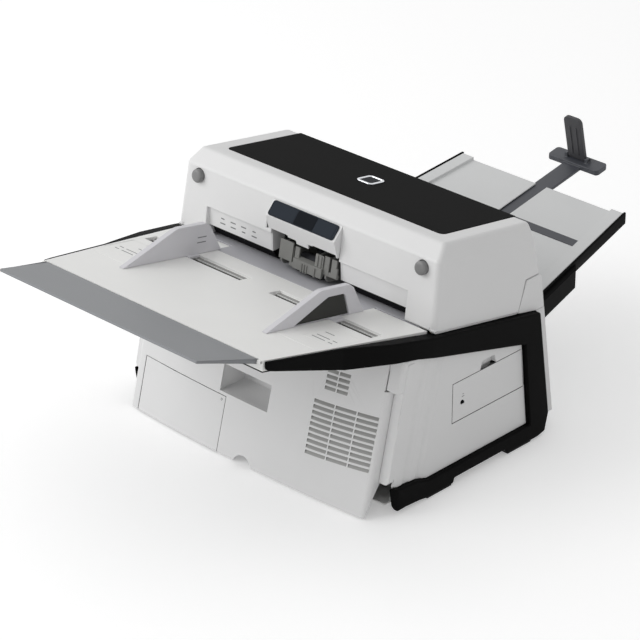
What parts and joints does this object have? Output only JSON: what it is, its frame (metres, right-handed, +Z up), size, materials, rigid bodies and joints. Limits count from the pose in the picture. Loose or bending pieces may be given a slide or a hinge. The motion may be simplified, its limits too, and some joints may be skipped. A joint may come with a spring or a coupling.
{
  "type": "document scanner",
  "caption": "Sheet-fed document scanner with a lift-up cover, sloping feed tray with paired side guides and folding flap, black side frames, access doors and a rear output stacker.",
  "frame": {"origin": "on the floor under the middle of the whole footprint", "axes": "+X to the right of a person who loads the feed tray, +Y from the feed tray to the rear stacker, +Z up"},
  "size_m": [0.44, 0.858, 0.3117],
  "materials": {
    "casing_white": "fine moulded texture, light grey-white",
    "frame_black": "black moulded texture",
    "panel_black": "matt charcoal",
    "flap_grey": "mid grey moulded",
    "guide_grey": "light grey moulded",
    "insert_dark": "dark grey",
    "knob_grey": "mid grey, satin",
    "mechanism_grey": "warm grey engineering plastic",
    "bezel_dark": "dark slate",
    "stacker_grey": "light grey moulded",
    "badge_silver": "metallised rim",
    "sheet_steel": "zinc-plated sheet",
    "roller_rubber": "dark rubber",
    "clear_glass": "clear scan glass",
    "sensor_black": "black moulded",
    "bush_brass": "sintered bronze look",
    "motor_metal": "turned can",
    "board_green": "circuit board lacquer",
    "supply_metal": "folded cover"
  },
  "bodies": {
    "casing": {"front_panel": "casing_white", "side_panel_left": "casing_white", "side_panel_right": "casing_white", "back_cover": "casing_white", "hinge_cover_left": "casing_white", "hinge_cover_right": "casing_white", "feed_tray": "casing_white", "handle_pocket": "casing_white", "frame_left": "frame_black", "frame_right": "frame_black", "tray_pan": "frame_black", "stacker_trim": "frame_black", "fan_frame": "mechanism_grey", "stacker_strip": "bezel_dark", "stacker_tray": "stacker_grey", "base_plate": "sheet_steel", "inner_plates": "sheet_steel", "hinge_pins": "sheet_steel", "case_screws": "sheet_steel", "drive_belt": "roller_rubber", "rubber_feet": "roller_rubber", "lower_glass": "clear_glass", "lower_sensor_unit": "sensor_black", "power_inlet": "sensor_black", "data_port": "sensor_black", "transport_bed": "sensor_black", "shaft_bushes": "bush_brass", "drive_motor": "motor_metal", "main_board": "board_green", "power_supply": "supply_metal"},
    "upper_unit": {"upper_shell": "casing_white", "top_panel": "panel_black", "status_badge": "badge_silver", "bezel_plate": "bezel_dark", "feeder_shroud": "casing_white", "upper_guide_plate": "sheet_steel", "upper_glass": "clear_glass", "upper_sensor_unit": "sensor_black"},
    "pick_arm_body": {"pick_arm": "mechanism_grey"},
    "pick_roller_body": {"pick_roller": "roller_rubber"},
    "front_idler_body": {"front_idler": "roller_rubber"},
    "back_idler_body": {"back_idler": "roller_rubber"},
    "button_left": {"release_button_left": "knob_grey"},
    "button_right": {"release_button_right": "knob_grey"},
    "feed_roller_body": {"feed_roller": "roller_rubber"},
    "front_drive_body": {"front_drive_roller": "roller_rubber"},
    "back_drive_body": {"back_drive_roller": "roller_rubber"},
    "motor_pulley_body": {"motor_pulley": "sheet_steel"},
    "fan_rotor_body": {"fan_rotor": "sensor_black"},
    "side_door_body": {"side_door": "casing_white"},
    "front_door_body": {"front_door": "casing_white"},
    "switch_body": {"power_switch": "sensor_black"},
    "guide_right_body": {"guide_right": "guide_grey", "guide_insert_right": "insert_dark"},
    "guide_left_body": {"guide_left": "guide_grey", "guide_insert_left": "insert_dark"},
    "pinion_body": {"guide_pinion": "mechanism_grey"},
    "flap_body": {"tray_flap": "flap_grey"},
    "stopper_slide_body": {"stopper_slide": "bezel_dark"},
    "stopper_blade_body": {"stopper_blade": "bezel_dark"}
  },
  "joints": [
    {"name": "cover_hinge", "type": "hinge", "parent": "casing", "child": "upper_unit", "pos_m": [0, 0.08579, 0.215], "axis": [-1, 0, 0], "range_deg": [0, 50]},
    {"name": "pick_arm_hinge", "type": "hinge", "parent": "upper_unit", "child": "pick_arm_body", "pos_m": [0, -0.04554, 0.23703], "axis": [-1, 0, 0], "range_deg": [0, 8]},
    {"name": "pick_roller_spin", "type": "hinge", "parent": "pick_arm_body", "child": "pick_roller_body", "pos_m": [0, -0.08101, 0.22191], "axis": [1, 0, 0], "continuous": true},
    {"name": "front_idler_spin", "type": "hinge", "parent": "upper_unit", "child": "front_idler_body", "pos_m": [0, -0.03079, 0.20764], "axis": [1, 0, 0], "continuous": true},
    {"name": "back_idler_spin", "type": "hinge", "parent": "upper_unit", "child": "back_idler_body", "pos_m": [0, 0.04779, 0.19265], "axis": [1, 0, 0], "continuous": true},
    {"name": "button_left_press", "type": "slide", "parent": "upper_unit", "child": "button_left", "axis": [0, 0.9895, -0.1444], "range_m": [0, 0.003], "stiffness_N_per_m": 300},
    {"name": "button_right_press", "type": "slide", "parent": "upper_unit", "child": "button_right", "axis": [0, 0.9895, -0.1444], "range_m": [0, 0.003], "stiffness_N_per_m": 300},
    {"name": "feed_roller_spin", "type": "hinge", "parent": "casing", "child": "feed_roller_body", "pos_m": [0, -0.07963, 0.19711], "axis": [1, 0, 0], "continuous": true},
    {"name": "front_drive_spin", "type": "hinge", "parent": "casing", "child": "front_drive_body", "pos_m": [0, -0.03388, 0.19144], "axis": [1, 0, 0], "continuous": true},
    {"name": "back_drive_spin", "type": "hinge", "parent": "casing", "child": "back_drive_body", "pos_m": [0, 0.0447, 0.17644], "axis": [1, 0, 0], "continuous": true},
    {"name": "motor_spin", "type": "hinge", "parent": "casing", "child": "motor_pulley_body", "pos_m": [0, -0.03503, 0.112], "axis": [1, 0, 0], "continuous": true},
    {"name": "fan_spin", "type": "hinge", "parent": "casing", "child": "fan_rotor_body", "pos_m": [0.14, -0.15551, 0.088], "axis": [0, 1, 0], "continuous": true},
    {"name": "side_door_hinge", "type": "hinge", "parent": "casing", "child": "side_door_body", "pos_m": [0.2127, -0.00503, 0.0824], "axis": [0, 1, 0], "range_deg": [0, 90]},
    {"name": "front_door_hinge", "type": "hinge", "parent": "casing", "child": "front_door_body", "pos_m": [-0.1831, -0.19358, 0.036], "axis": [0, -0.2521, -0.9677], "range_deg": [0, 100]},
    {"name": "switch_rock", "type": "hinge", "parent": "casing", "child": "switch_body", "pos_m": [-0.12, 0.10883, 0.07], "axis": [1, 0, 0], "range_deg": [0, 16]},
    {"name": "guide_right_slide", "type": "slide", "parent": "casing", "child": "guide_right_body", "axis": [1, 0, 0], "range_m": [-0.083, 0.039]},
    {"name": "guide_left_slide", "type": "slide", "parent": "casing", "child": "guide_left_body", "axis": [1, 0, 0], "range_m": [-0.039, 0.083]},
    {"name": "pinion_spin", "type": "hinge", "parent": "casing", "child": "pinion_body", "pos_m": [0, -0.17244, 0.21899], "axis": [0, 0.1874, 0.9823], "range_deg": [-220, 460]},
    {"name": "flap_hinge", "type": "hinge", "parent": "casing", "child": "flap_body", "pos_m": [0, -0.34819, 0.25791], "axis": [-1, 0, 0], "range_deg": [0, 90]},
    {"name": "stopper_slide_in", "type": "slide", "parent": "casing", "child": "stopper_slide_body", "axis": [0, -0.9842, -0.1771], "range_m": [0, 0.06]},
    {"name": "stopper_fold", "type": "hinge", "parent": "stopper_slide_body", "child": "stopper_blade_body", "pos_m": [0, 0.41797, 0.20144], "axis": [1, 0, 0], "range_deg": [0, 70]}
  ],
  "couplings": [
    {"joint": "front_drive_spin", "follows": "feed_roller_spin", "ratio": 1},
    {"joint": "back_drive_spin", "follows": "feed_roller_spin", "ratio": 1},
    {"joint": "motor_spin", "follows": "feed_roller_spin", "ratio": 1},
    {"joint": "guide_left_slide", "follows": "guide_right_slide", "ratio": -1},
    {"joint": "pinion_spin", "follows": "guide_right_slide", "rad_per_m": -95.238}
  ]
}
